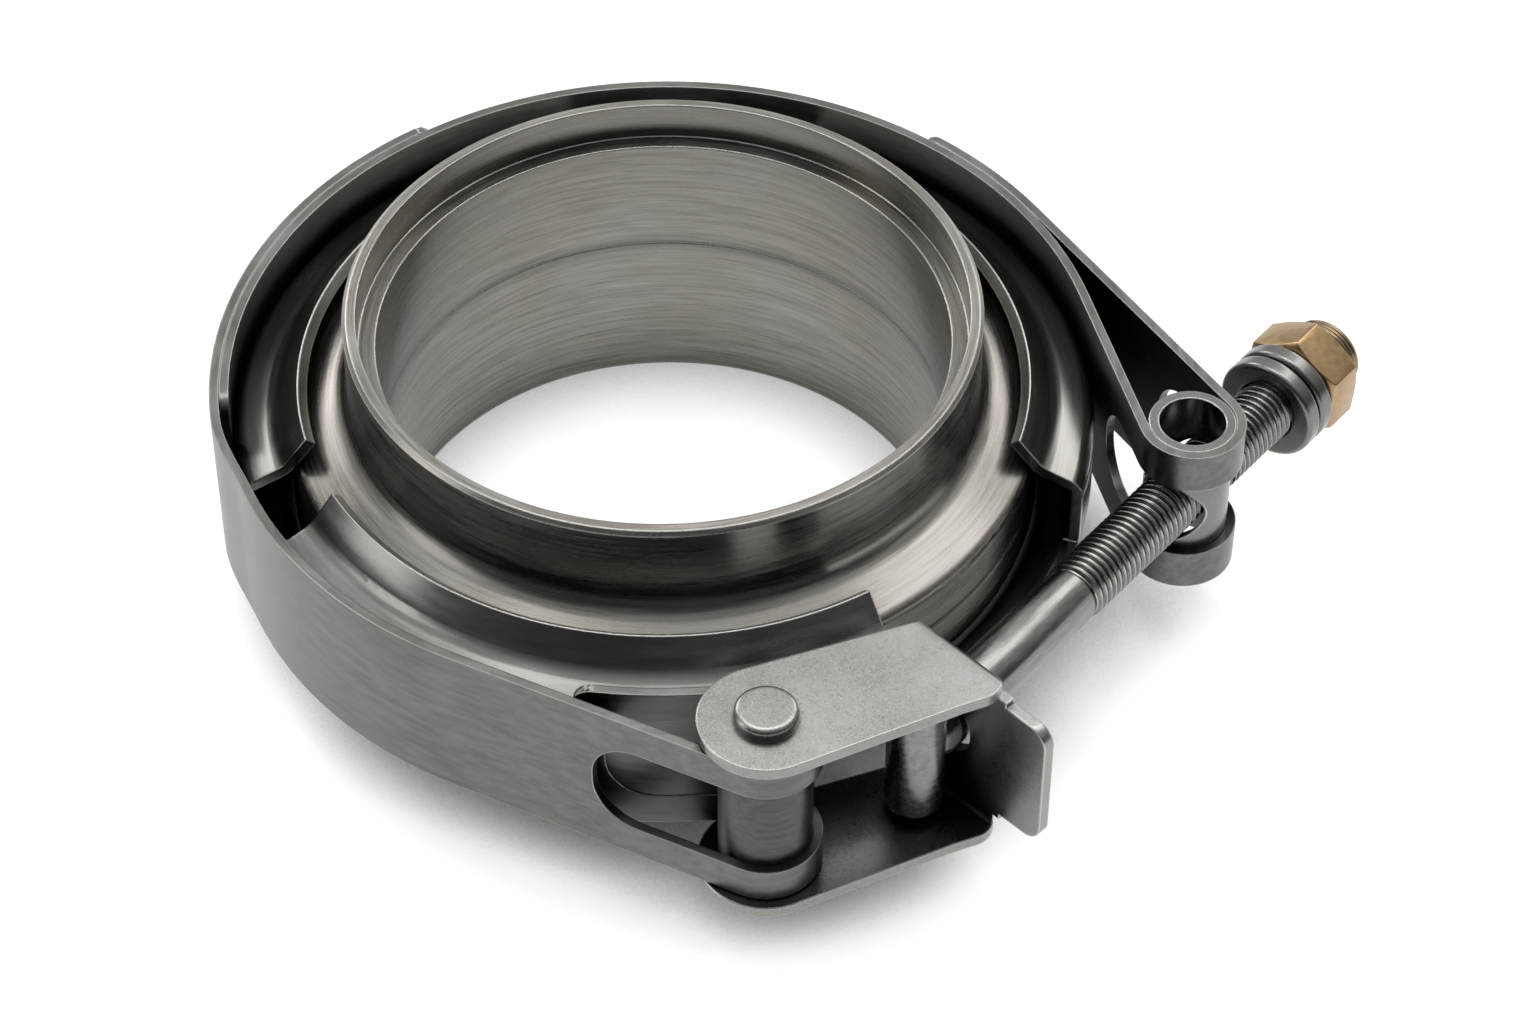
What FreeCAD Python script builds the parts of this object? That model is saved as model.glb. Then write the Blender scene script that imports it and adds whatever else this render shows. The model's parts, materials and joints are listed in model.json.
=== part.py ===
# Quick release V-band clamp on a pair of weld flanges.
# Millimetres. The flange axis is Z, the lower flange stands on z = 0.
# Azimuths are degrees about Z from +X, and the release link is at the front, toward -Y.

import math
import os
import re

import FreeCAD
import Part
import Sketcher
from FreeCAD import Vector

doc = FreeCAD.newDocument("VBandClamp")
sheet = doc.addObject("Spreadsheet::Sheet", "Dimensions")
pieces = []


sizes = {
    # Flanges
    "collar_radius": 40.0,  # weld collar, outside
    "bore_wall": 3.9,  # collar to the through bore of both flanges
    "socket_wall": 1.7,  # collar to the tube socket of the upper flange, for 76.2 mm tube
    "socket_depth": 5.2,
    "flange_height": 22.0,  # each flange, bottom face to mating face
    "rim_radius": 47.8,
    "rim_height": 6.6,  # straight edge of each rim
    "bevel_angle": 20.5,  # conical back of the rim, from level
    "collar_root_round": 3.0,
    "rim_edge_round": 1.4,
    "seam_chamfer": 0.5,  # at the mating edge of each rim
    "collar_end_chamfer": 0.5,
    # Pressed V segments
    "sheet_thickness": 1.5,  # segments and link
    "seat_clearance": 0.3,  # segment above the rim corner
    "wall_clearance": 5.5,  # segment wall outside the rim
    "leg_angle": 20.0,  # outer leg of the V, from level
    "leg_reach": 4.7,  # wall to lip bend, radially
    "lip_angle": 50.0,  # inner lip of the V, from level
    "lip_length": 5.5,
    "shoulder_round": 2.5,
    "lip_bend_round": 3.5,
    "left_segment_start": 104.0,
    "left_segment_sweep": 93.0,
    "front_segment_start": 209.5,
    "front_segment_sweep": 94.0,
    "right_segment_start": -16.0,
    "right_segment_sweep": 86.0,
    "right_tongue_sweep": 39.0,  # lower leg carried on under the bolt
    "tongue_drop": 4.5,  # top of that leg below the mating face
    # Straps
    "strap_width": 22.8,
    "strap_thickness": 1.2,
    "strap_fit": 0.03,  # strap outside a segment wall
    "hinge_azimuth": 282.2,
    "hinge_clearance": 0.7,  # loop outside to segment wall
    "trunnion_azimuth": -8.0,
    "trunnion_clearance": 5.25,  # loop outside to segment wall
    "tail_end": 260.0,  # end of the hinge strap's folded tail
    "lap_start": 124.5,  # outer lap of the hinge strap
    "lap_end": 190.0,
    "lap_gap": 0.05,  # between a lap and the strap under it
    "joggle_end": 204.0,
    "inner_strap_end": 188.0,  # left end of the trunnion strap, under the lap
    "fold_end": 53.5,  # end of the trunnion strap's folded leg
    "strap_corner_round": 2.5,
    "hinge_window_height": 13.4,
    "hinge_window_length": 19.5,  # from the pin, along the leg
    "hinge_window_round": 6.0,
    "bolt_window_height": 11.4,
    "bolt_window_length": 13.5,  # from the trunnion, along the leg
    "bolt_window_round": 5.2,
    # Hinge and release link
    "bush_radius": 5.7,
    "bush_projection": 0.2,  # bush beyond each edge of the strap
    "pin_radius": 3.0,
    "pin_clearance": 0.06,  # running fit of the pin in the bush
    "rivet_fit": 0.02,  # rivet in the link
    "rivet_head_radius": 3.9,
    "rivet_head_height": 1.7,
    "rivet_head_chamfer": 0.8,
    "link_side_clearance": 0.1,  # bush end to link plate
    "link_half_width": 8.2,
    "link_front_width": 6.8,  # pin to front edge
    "link_back_width": 7.5,  # the same to the back corner of the web
    "link_azimuth": 22.5,
    "web_azimuth": 45.0,  # direction the web faces
    "head_reach": 19.6,  # pin to T-head
    "head_azimuth": 24.0,  # direction from the pin to the T-head
    "swing_clearance": 0.15,  # T-head inside the web when the link swings
    "web_bend_round": 2.0,
    "slot_height": 8.6,
    "slot_end_clearance": 0.35,  # shank to closed end of the slot
    "tab_length": 5.2,
    "tab_drop": 2.2,  # tab edge inside each plate
    "tab_round": 2.5,
    "notch_width": 1.6,  # relief beside the tab
    "notch_depth": 1.2,
    "plate_corner_round": 3.2,
    # T-bolt, trunnion, washers and nut
    "bolt_radius": 4.0,
    "shank_relief": 0.25,  # plain shank below the thread size, as rolled threads have it
    "thread_relief": 0.06,  # threaded part below the thread size
    "thread_start": 24.7,  # trunnion to thread, toward the head
    "bolt_overhang": 34.2,  # trunnion to bolt end
    "bolt_end_chamfer": 0.8,
    "head_radius": 3.6,
    "head_end_clearance": 0.95,  # head to each link plate
    "head_end_round": 1.5,
    "trunnion_outer_radius": 5.5,
    "trunnion_inner_radius": 4.2,
    "trunnion_recess": 0.1,  # trunnion end inside the strap edge
    "trunnion_hole_radius": 4.8,
    "loop_clearance": 0.05,  # running fit of the trunnion in its loop
    "washer_radius": 7.0,
    "washer_bore_radius": 4.2,
    "washer_thickness": 2.5,
    "washer_round": 0.6,
    "washer_place": 17.65,  # trunnion to inner washer
    "washer_gap": 0.3,  # between the two washers
    "nut_gap": 0.25,  # outer washer to nut
    "nut_across_flats": 13.0,
    "nut_height": 6.6,
    "nut_chamfer_angle": 30.0,
    "nut_bore_radius": 4.05,
    "nut_collar_radius": 4.9,
    "nut_collar_length": 3.6,
    "nut_collar_chamfer": 0.4,
}

# Worked out from the sizes above
worked_out = {
    "bore_radius": "collar_radius - bore_wall",
    "socket_radius": "collar_radius - socket_wall",
    "wall_inner": "rim_radius + wall_clearance",
    "wall_outer": "wall_inner + sheet_thickness",
    "wall_rise": "rim_height + seat_clearance - leg_reach"
        " * tan(leg_angle) - (wall_clearance - leg_reach) * tan(lip_angle)",
    "lip_foot": "wall_inner - leg_reach",
    "lip_foot_rise": "wall_rise + leg_reach * tan(leg_angle)",
    "lip_tip": "lip_foot - lip_length * cos(lip_angle)",
    "lip_tip_rise": "lip_foot_rise + lip_length * sin(lip_angle)",
    "shoulder_rise": "wall_rise + sheet_thickness * tan(45 - leg_angle / 2)",
    "bend_out": "sheet_thickness * sin((leg_angle + lip_angle) / 2) / cos((lip_angle - leg_angle) / 2)",
    "bend_up": "sheet_thickness * cos((leg_angle + lip_angle) / 2) / cos((lip_angle - leg_angle) / 2)",
    "strap_inner": "wall_outer + strap_fit",
    "strap_outer": "strap_inner + strap_thickness",
    "lap_inner": "strap_outer + lap_gap",
    "lap_outer": "lap_inner + strap_thickness",
    "hinge_loop": "bush_radius + strap_thickness",
    "bolt_loop_inner": "trunnion_outer_radius + loop_clearance",
    "bolt_loop": "bolt_loop_inner + strap_thickness",
    "hinge_radius": "wall_outer + hinge_loop + hinge_clearance",
    "trunnion_radius": "wall_outer + bolt_loop + trunnion_clearance",
    "hinge_x": "hinge_radius * cos(hinge_azimuth)",
    "hinge_y": "hinge_radius * sin(hinge_azimuth)",
    "trunnion_x": "trunnion_radius * cos(trunnion_azimuth)",
    "trunnion_y": "trunnion_radius * sin(trunnion_azimuth)",
    "hinge_lean": "acos((strap_outer - hinge_loop) / hinge_radius) / 1deg",
    "bolt_lean": "acos((lap_outer - bolt_loop) / trunnion_radius) / 1deg",
    "head_x": "hinge_x + head_reach * cos(head_azimuth)",
    "head_y": "hinge_y + head_reach * sin(head_azimuth)",
    "bolt_azimuth": "atan2(trunnion_y - head_y; trunnion_x - head_x) / 1deg",
    "head_to_trunnion": "sqrt((trunnion_x - head_x)^2 + (trunnion_y - head_y)^2)",
    "web_inner": "head_reach + head_radius + swing_clearance",
    "web_outer": "web_inner + sheet_thickness",
    "link_turn": "web_azimuth - link_azimuth",
    "head_turn": "web_azimuth - head_azimuth",
    "bush_height": "strap_width + 2 * bush_projection",
    "link_inside_height": "bush_height + 2 * link_side_clearance",
    "link_height": "link_inside_height + 2 * sheet_thickness",
    "tab_height": "link_inside_height - 2 * tab_drop",
    "head_height": "link_inside_height - 2 * head_end_clearance",
    "trunnion_height": "strap_width - 2 * trunnion_recess",
    "web_back": "(link_back_width - web_outer * sin(link_turn)) / cos(link_turn)",
    "web_front": "(0 - link_front_width - web_outer * sin(link_turn)) / cos(link_turn)",
    "shank_in_web": "0 - head_reach * sin(head_turn) + tan(bolt_azimuth - web_azimuth)"
        " * (web_inner - head_reach * cos(head_turn))",
    "slot_centre": "shank_in_web - slot_end_clearance",
    "shank_radius": "bolt_radius - shank_relief",
    "thread_radius": "bolt_radius - thread_relief",
    "thread_begin": "head_to_trunnion - thread_start",
    "bolt_end": "head_to_trunnion + bolt_overhang",
    "inner_washer_at": "head_to_trunnion + washer_place",
    "outer_washer_at": "inner_washer_at + washer_thickness + washer_gap",
    "nut_at": "outer_washer_at + washer_thickness + nut_gap",
    "collar_at": "nut_at + nut_height",
}

for row, (name, value) in enumerate({**sizes, **worked_out}.items(), 1):
    sheet.set("A%d" % row, name)
    sheet.set("B%d" % row, str(value) if name in sizes else "=" + value)
    sheet.setAlias("B%d" % row, name)
doc.recompute()

alias = re.compile(r"\b(" + "|".join(sorted([*sizes, *worked_out], key=len, reverse=True)) + r")\b")


def bound(text):
    return alias.sub(r"Dimensions.\1", text)


def number(text):
    value = sheet.evalExpression(text)
    return float(getattr(value, "Value", value))


def begin(label):
    body = doc.addObject("PartDesign::Body", label)
    body.Label = label
    pieces.append(body)
    return body


def place(body, x, y, z, turn):
    body.Placement.Rotation = FreeCAD.Rotation(Vector(0, 0, 1), 1)
    body.setExpression("Placement.Base.x", bound(x))
    body.setExpression("Placement.Base.y", bound(y))
    body.setExpression("Placement.Base.z", bound(z))
    body.setExpression("Placement.Rotation.Angle", bound(turn))


def sketch_on(body, role, lift="0"):
    sketch = body.newObject("Sketcher::SketchObject", body.Label + "_outline")
    for plane in body.Origin.OriginFeatures:
        if plane.Role == role:
            sketch.AttachmentSupport = [(plane, "")]
    sketch.MapMode = "FlatFace"
    if lift != "0":
        sketch.setExpression("AttachmentOffset.Base.z", bound(lift))
    return sketch


def hold(sketch, kind, geo, pos, text):
    row = sketch.addConstraint(Sketcher.Constraint(kind, -1, 1, geo, pos, number(text)))
    sketch.setExpression("Constraints[%d]" % row, bound(text))


def outline(sketch, corners):
    # Corners are (x, y) or (x, y, radius); a radius rounds that corner.
    spots = [Vector(number(c[0]), number(c[1]), 0) for c in corners]
    count = len(corners)
    leave = []
    arrive = []
    for i, corner in enumerate(corners):
        back = (spots[i - 1] - spots[i]).normalize()
        ahead = (spots[(i + 1) % count] - spots[i]).normalize()
        if len(corner) == 2:
            leave.append(spots[i])
            arrive.append(spots[i])
            continue
        half = back.getAngle(ahead) / 2
        setback = number(corner[2]) / math.tan(half)
        arrive.append(spots[i] + back * setback)
        leave.append(spots[i] + ahead * setback)
    lines = []
    for i in range(count):
        edge = Part.LineSegment(leave[i], arrive[(i + 1) % count])
        lines.append(sketch.addGeometry(edge, False))
    for i, corner in enumerate(corners):
        before = lines[i - 1]
        after = lines[i]
        if len(corner) == 2:
            sketch.addConstraint(Sketcher.Constraint("Coincident", before, 2, after, 1))
            hold(sketch, "DistanceX", after, 1, corner[0])
            hold(sketch, "DistanceY", after, 1, corner[1])
            continue
        point = sketch.addGeometry(Part.Point(spots[i]), True)
        hold(sketch, "DistanceX", point, 1, corner[0])
        hold(sketch, "DistanceY", point, 1, corner[1])
        sketch.addConstraint(Sketcher.Constraint("PointOnObject", point, 1, before))
        sketch.addConstraint(Sketcher.Constraint("PointOnObject", point, 1, after))
        radius = number(corner[2])
        back = (spots[i - 1] - spots[i]).normalize()
        ahead = (spots[(i + 1) % count] - spots[i]).normalize()
        centre = spots[i] + (back + ahead).normalize() * (radius / math.sin(back.getAngle(ahead) / 2))
        turn_left = back.cross(ahead).z < 0
        first = arrive[i] if turn_left else leave[i]
        last = leave[i] if turn_left else arrive[i]
        start = math.atan2(first.y - centre.y, first.x - centre.x)
        stop = math.atan2(last.y - centre.y, last.x - centre.x)
        circle = Part.Circle(centre, Vector(0, 0, 1), radius)
        arc = sketch.addGeometry(Part.ArcOfCircle(circle, start, stop), False)
        near = 1 if turn_left else 2
        sketch.addConstraint(Sketcher.Constraint("Tangent", before, 2, arc, near))
        sketch.addConstraint(Sketcher.Constraint("Tangent", arc, 3 - near, after, 1))
        row = sketch.addConstraint(Sketcher.Constraint("Radius", arc, radius))
        sketch.setExpression("Constraints[%d]" % row, bound(corner[2]))


def ring(sketch, x, y, radius):
    centre = Vector(number(x), number(y), 0)
    circle = sketch.addGeometry(Part.Circle(centre, Vector(0, 0, 1), number(radius)), False)
    hold(sketch, "DistanceX", circle, 3, x)
    hold(sketch, "DistanceY", circle, 3, y)
    row = sketch.addConstraint(Sketcher.Constraint("Radius", circle, number(radius)))
    sketch.setExpression("Constraints[%d]" % row, bound(radius))


def feature(body, kind, sketch, name):
    made = body.newObject("PartDesign::" + kind, body.Label + "_" + name)
    made.Profile = sketch
    sketch.Visibility = False
    return made


def pad(body, sketch, length, name, both_ways=False):
    made = feature(body, "Pad", sketch, name)
    made.SideType = "Symmetric" if both_ways else "One side"
    made.setExpression("Length", bound(length))
    doc.recompute()
    return made


def pocket(body, sketch, length, name, both_ways=True):
    before = body.Shape.Volume
    made = feature(body, "Pocket", sketch, name)
    made.SideType = "Symmetric" if both_ways else "One side"
    made.setExpression("Length", bound(length))
    doc.recompute()
    if body.Shape.Volume > before - 0.01:
        made.Reversed = True
        doc.recompute()
    return made


def turn(body, sketch, axis, name, sweep="360", kind="Revolution", reverse=False):
    made = feature(body, kind, sketch, name)
    made.ReferenceAxis = (sketch, [axis])
    made.Reversed = reverse
    made.setExpression("Angle", bound(sweep))
    doc.recompute()
    return made


def dress(body, kind, wanted, amount, name):
    # Rounds or chamfers the edges that wanted picks.
    base = body.Tip
    edges = ["Edge%d" % (i + 1) for i, e in enumerate(base.Shape.Edges) if wanted(e)]
    if not edges:
        raise RuntimeError("no edges for " + name)
    made = body.newObject("PartDesign::" + kind, body.Label + "_" + name)
    made.Base = (base, edges)
    made.setExpression("Radius" if kind == "Fillet" else "Size", bound(amount))
    doc.recompute()
    return made


def mid(edge):
    return edge.valueAt((edge.FirstParameter + edge.LastParameter) / 2)


# Each flange is one turned piece: collar, conical back, straight rim.
# The seam where the two meet is at flange_height.
bevel_rise = "rim_height + (rim_radius - collar_radius) * tan(bevel_angle)"
for label, sign, socket in (("lower_flange", "-", False), ("upper_flange", "+", True)):
    body = begin(label)
    plane = sketch_on(body, "XZ_Plane")
    far = "flange_height %s flange_height" % sign
    shape = [
        ("rim_radius - seam_chamfer", "flange_height"),
        ("rim_radius", "flange_height %s seam_chamfer" % sign),
        ("rim_radius", "flange_height %s rim_height" % sign, "rim_edge_round"),
        ("collar_radius", "flange_height %s (%s)" % (sign, bevel_rise), "collar_root_round"),
        ("collar_radius", "%s %s (0 - collar_end_chamfer)" % (far, sign)),
        ("collar_radius - collar_end_chamfer", far),
    ]
    if socket:
        step = "2 * flange_height - socket_depth"
        shape += [("socket_radius", far), ("socket_radius", step), ("bore_radius", step)]
    else:
        shape += [("bore_radius", far)]
    shape += [("bore_radius", "flange_height")]
    outline(plane, shape)
    turn(body, plane, "V_Axis", "turned")


# The channel of a segment: wall, sloping legs that draw the rims together, and
# lips that lie along the collars. One sheet, the same above and below.
half_channel = [
    ("wall_outer", "shoulder_rise", "shoulder_round"),
    ("lip_foot + bend_out", "lip_foot_rise + bend_up", "lip_bend_round"),
    ("lip_tip + sheet_thickness * sin(lip_angle)", "lip_tip_rise + sheet_thickness * cos(lip_angle)"),
    ("lip_tip", "lip_tip_rise"),
    ("lip_foot", "lip_foot_rise", "lip_bend_round + sheet_thickness"),
    ("wall_inner", "wall_rise"),
]


def segment(label, start, sweep):
    body = begin(label)
    place(body, "0", "0", "0", start)
    plane = sketch_on(body, "XZ_Plane")
    upper = [(c[0], "flange_height + " + c[1]) + c[2:] for c in half_channel]
    lower = [(c[0], "flange_height - (%s)" % c[1]) + c[2:] for c in reversed(half_channel)]
    outline(plane, upper + lower)
    turn(body, plane, "V_Axis", "pressed", sweep)
    return body


segment("v_segment_left", "left_segment_start", "left_segment_sweep")
segment("v_segment_front", "front_segment_start", "front_segment_sweep")

# The right segment keeps only its lower leg under the bolt, as a tongue.
right = segment(
    "v_segment_right", "right_segment_start - right_tongue_sweep", "right_segment_sweep + right_tongue_sweep"
)
plane = sketch_on(right, "XZ_Plane")
tongue_top = "flange_height - tongue_drop"
outline(plane, [
    ("bore_radius", tongue_top), ("lap_outer", tongue_top),
    ("lap_outer", "2 * flange_height"), ("bore_radius", "2 * flange_height"),
])
turn(right, plane, "V_Axis", "cut_back", "right_tongue_sweep", "Groove")


# A strap outline is a row of arcs joined by straight lines. An arc end with an
# azimuth is held there, and an end with None is tangent to the line that leaves it.
def strap_outline(sketch, arcs):
    made = []
    for centre, radius, first, last, hold_first, hold_last in arcs:
        middle = Vector(number(centre[0]), number(centre[1]), 0)
        circle = Part.Circle(middle, Vector(0, 0, 1), number(radius))
        low, high = sorted((math.radians(first), math.radians(last)))
        arc = sketch.addGeometry(Part.ArcOfCircle(circle, low, high), False)
        start, stop = (1, 2) if last > first else (2, 1)
        hold(sketch, "DistanceX", arc, 3, centre[0])
        hold(sketch, "DistanceY", arc, 3, centre[1])
        row = sketch.addConstraint(Sketcher.Constraint("Radius", arc, number(radius)))
        sketch.setExpression("Constraints[%d]" % row, bound(radius))
        for text, pos, angle in ((hold_first, start, first), (hold_last, stop, last)):
            if text is None:
                continue
            steep = abs(math.sin(math.radians(angle))) > 0.7
            kind, part = ("DistanceX", "cos") if steep else ("DistanceY", "sin")
            hold(sketch, kind, arc, pos, "(%s) * %s(%s)" % (radius, part, text))
        made.append((arc, start, stop, hold_first, hold_last))
    for i, (arc, start, stop, _, hold_last) in enumerate(made):
        after, after_start, _, hold_first, _ = made[(i + 1) % len(made)]
        begin_at = sketch.getPoint(arc, stop)
        end_at = sketch.getPoint(after, after_start)
        line = sketch.addGeometry(Part.LineSegment(begin_at, end_at), False)
        out = "Tangent" if hold_last is None else "Coincident"
        into = "Tangent" if hold_first is None else "Coincident"
        sketch.addConstraint(Sketcher.Constraint(out, arc, stop, line, 1))
        sketch.addConstraint(Sketcher.Constraint(into, line, 2, after, after_start))


def strap(label, arcs):
    body = begin(label)
    plane = sketch_on(body, "XY_Plane", "flange_height")
    strap_outline(plane, arcs)
    pad(body, plane, "strap_width", "strip", True)
    return body


# Window through both legs of a loop, seen square to the outer leg. The sketch has
# its origin on the loop's axis, x along the leg away from the loop and y up.
def window(body, x, y, leg, length, loop, height, rounding):
    plane = sketch_on(body, "XZ_Plane")
    plane.AttachmentOffset = FreeCAD.Placement(Vector(0, 0, 0), FreeCAD.Rotation(Vector(0, 1, 0), 1))
    plane.setExpression("AttachmentOffset.Base.x", bound(x))
    plane.setExpression("AttachmentOffset.Base.y", bound("flange_height"))
    plane.setExpression("AttachmentOffset.Base.z", bound("0 - " + y))
    plane.setExpression("AttachmentOffset.Rotation.Angle", bound(leg))
    outline(plane, [
        ("0 - 2 * " + loop, "0 - %s / 2" % height),
        (length, "0 - %s / 2" % height, rounding),
        (length, "%s / 2" % height, rounding),
        ("0 - 2 * " + loop, "%s / 2" % height),
    ])
    pocket(body, plane, "4.4 * " + loop, "window")

    def strap_corner(edge):
        if edge.Curve.TypeId != "Part::GeomLine" or edge.Length > 1.02 * number("strap_thickness"):
            return False
        level = abs(mid(edge).z - number("flange_height"))
        flat = abs(edge.tangentAt(edge.FirstParameter).z) < 0.01
        return flat and abs(level - number("strap_width") / 2) < 0.01

    dress(body, "Fillet", strap_corner, "strap_corner_round", "corners")


centre = ("0", "0")
pin = ("hinge_x", "hinge_y")
leave = number("hinge_azimuth - hinge_lean")
rejoin = number("hinge_azimuth - acos((strap_inner + hinge_loop) / hinge_radius) / 1deg")
tail = number("tail_end")
hinge_strap = strap("hinge_strap", [
    (centre, "lap_outer", number("lap_start"), number("lap_end"), "lap_start", "lap_end"),
    (centre, "strap_outer", number("joggle_end"), leave, "joggle_end", None),
    (pin, "hinge_loop", leave, rejoin + 180, None, None),
    (centre, "strap_inner", rejoin, tail, None, "tail_end"),
    (centre, "strap_outer", tail, rejoin, "tail_end", None),
    (pin, "bush_radius", rejoin + 180, leave, None, None),
    (centre, "strap_inner", leave, number("joggle_end"), None, "joggle_end"),
    (centre, "lap_inner", number("lap_end"), number("lap_start"), "lap_end", "lap_start"),
])
window(
    hinge_strap, "hinge_x", "hinge_y", "hinge_azimuth - hinge_lean - 90",
    "hinge_window_length", "hinge_loop", "hinge_window_height", "hinge_window_round"
)

axle = ("trunnion_x", "trunnion_y")
leave = number("trunnion_azimuth + acos((strap_inner + bolt_loop) / trunnion_radius) / 1deg")
rejoin = number("trunnion_azimuth + bolt_lean")
fold = number("fold_end")
far_end = number("inner_strap_end")
trunnion_strap = strap("trunnion_strap", [
    (centre, "strap_outer", far_end, leave, "inner_strap_end", None),
    (axle, "bolt_loop_inner", leave - 180, rejoin, None, None),
    (centre, "lap_inner", rejoin, fold, None, "fold_end"),
    (centre, "lap_outer", fold, rejoin, "fold_end", None),
    (axle, "bolt_loop", rejoin, leave - 180, None, None),
    (centre, "strap_inner", leave, far_end, None, "inner_strap_end"),
])
window(
    trunnion_strap, "trunnion_x", "trunnion_y", "trunnion_azimuth + bolt_lean + 90",
    "bolt_window_length", "bolt_loop", "bolt_window_height", "bolt_window_round"
)

# Hinge bush, and the rivet that turns in it with the link.
bush = begin("hinge_bush")
place(bush, "hinge_x", "hinge_y", "flange_height", "0")
plane = sketch_on(bush, "XZ_Plane")
outline(plane, [
    ("pin_radius + pin_clearance", "0 - bush_height / 2"), ("bush_radius", "0 - bush_height / 2"),
    ("bush_radius", "bush_height / 2"), ("pin_radius + pin_clearance", "bush_height / 2"),
])
turn(bush, plane, "V_Axis", "turned")

rivet = begin("hinge_rivet")
place(rivet, "hinge_x", "hinge_y", "flange_height", "0")
plane = sketch_on(rivet, "XZ_Plane")
outline(plane, [
    ("0", "0 - link_height / 2 - rivet_head_height"),
    ("rivet_head_radius", "0 - link_height / 2 - rivet_head_height", "rivet_head_chamfer"),
    ("rivet_head_radius", "0 - link_height / 2"),
    ("pin_radius", "0 - link_height / 2"),
    ("pin_radius", "link_height / 2"),
    ("rivet_head_radius", "link_height / 2"),
    ("rivet_head_radius", "link_height / 2 + rivet_head_height", "rivet_head_chamfer"),
    ("0", "link_height / 2 + rivet_head_height"),
])
turn(rivet, plane, "V_Axis", "headed")

# Release link: one folded sheet, two eye plates joined by a web. The open slot
# in the web lets the shank out when the link swings off the head.
link = begin("latch_link")
place(link, "hinge_x", "hinge_y", "flange_height", "web_azimuth")
plane = sketch_on(link, "XY_Plane")
outline(plane, [
    ("link_half_width * sin(link_turn)", "link_half_width * cos(link_turn)"),
    ("0 - link_front_width * sin(link_turn)", "0 - link_front_width * cos(link_turn)"),
    ("web_outer", "web_front"),
    ("web_outer", "web_back"),
])
pad(link, plane, "link_height", "blank", True)
plane = sketch_on(link, "XY_Plane")
ring(plane, "0", "0", "link_half_width")
pad(link, plane, "link_height", "eye", True)
plane = sketch_on(link, "XY_Plane")
outline(plane, [
    ("0 - 2 * link_half_width", "web_front - link_half_width"), ("web_inner", "web_front - link_half_width"),
    ("web_inner", "2 * link_half_width"), ("0 - 2 * link_half_width", "2 * link_half_width"),
])
pocket(link, plane, "link_inside_height", "inside")


def fold_edge(x):
    def wanted(edge):
        if edge.Curve.TypeId != "Part::GeomLine":
            return False
        along = abs(edge.tangentAt(edge.FirstParameter).y) > 0.99
        return along and abs(mid(edge).x - number(x)) < 0.01
    return wanted


dress(link, "Fillet", fold_edge("web_outer"), "web_bend_round", "fold_outside")
dress(link, "Fillet", fold_edge("web_inner"), "web_bend_round - sheet_thickness", "fold_inside")
plane = sketch_on(link, "YZ_Plane", "web_inner")
outline(plane, [
    ("web_front - tab_length", "0 - tab_height / 2", "tab_round"),
    ("web_front + 1", "0 - tab_height / 2"),
    ("web_front + 1", "tab_height / 2"),
    ("web_front - tab_length", "tab_height / 2", "tab_round"),
])
pad(link, plane, "sheet_thickness", "tab")
for sign in ("", "0 - "):
    plane = sketch_on(link, "YZ_Plane", "web_inner")
    near = sign + "tab_height / 2"
    far = sign + "(tab_height / 2 + notch_width)"
    outline(plane, [
        ("web_front - 1", near), ("web_front + notch_depth", near),
        ("web_front + notch_depth", far), ("web_front - 1", far),
    ])
    pocket(link, plane, "4 * sheet_thickness", "notch")
# The corner of each plate beside the tab, rounded through the plate and its fold.
back_off = "2 * plate_corner_round"
for sign in ("", "0 - "):
    plane = sketch_on(link, "XY_Plane", sign + "link_height / 2")
    outline(plane, [
        ("web_outer", "web_front", "plate_corner_round"),
        ("web_outer", "web_front + " + back_off),
        ("web_outer + 1", "web_front + " + back_off),
        ("web_outer + 1", "web_front - 1"),
        ("web_outer - " + back_off, "web_front - 1"),
        ("web_outer - " + back_off, "web_front + %s * tan(link_turn)" % back_off),
    ])
    pocket(link, plane, "link_height - tab_height - notch_width", "corner")
plane = sketch_on(link, "YZ_Plane", "web_inner")
outline(plane, [
    ("slot_centre - slot_height / 2", "0 - slot_height / 2", "slot_height / 2 - 0.05"),
    ("web_back + link_half_width", "0 - slot_height / 2"),
    ("web_back + link_half_width", "slot_height / 2"),
    ("slot_centre - slot_height / 2", "slot_height / 2", "slot_height / 2 - 0.05"),
])
pocket(link, plane, "6 * sheet_thickness", "slot")
plane = sketch_on(link, "XY_Plane")
ring(plane, "0", "0", "pin_radius + rivet_fit")
pocket(link, plane, "2 * link_height", "rivet_holes")

# T-bolt, along its own X from the head. The head is a short upright bar.
bolt = begin("t_bolt")
place(bolt, "head_x", "head_y", "flange_height", "bolt_azimuth")
plane = sketch_on(bolt, "XY_Plane")
ring(plane, "0", "0", "head_radius")
pad(bolt, plane, "head_height", "head", True)
dress(
    bolt, "Fillet", lambda edge: abs(abs(mid(edge).z) - number("head_height / 2")) < 0.01,
    "head_end_round", "head_ends"
)
plane = sketch_on(bolt, "XY_Plane")
outline(plane, [
    ("0", "0"),
    ("0", "head_radius - 0.5"),
    ("shank_radius / 2", "shank_radius"),
    ("thread_begin", "shank_radius"),
    ("thread_begin + shank_relief", "thread_radius"),
    ("bolt_end - bolt_end_chamfer", "thread_radius"),
    ("bolt_end", "thread_radius - bolt_end_chamfer"),
    ("bolt_end", "0"),
])
turn(bolt, plane, "H_Axis", "shank")

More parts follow.
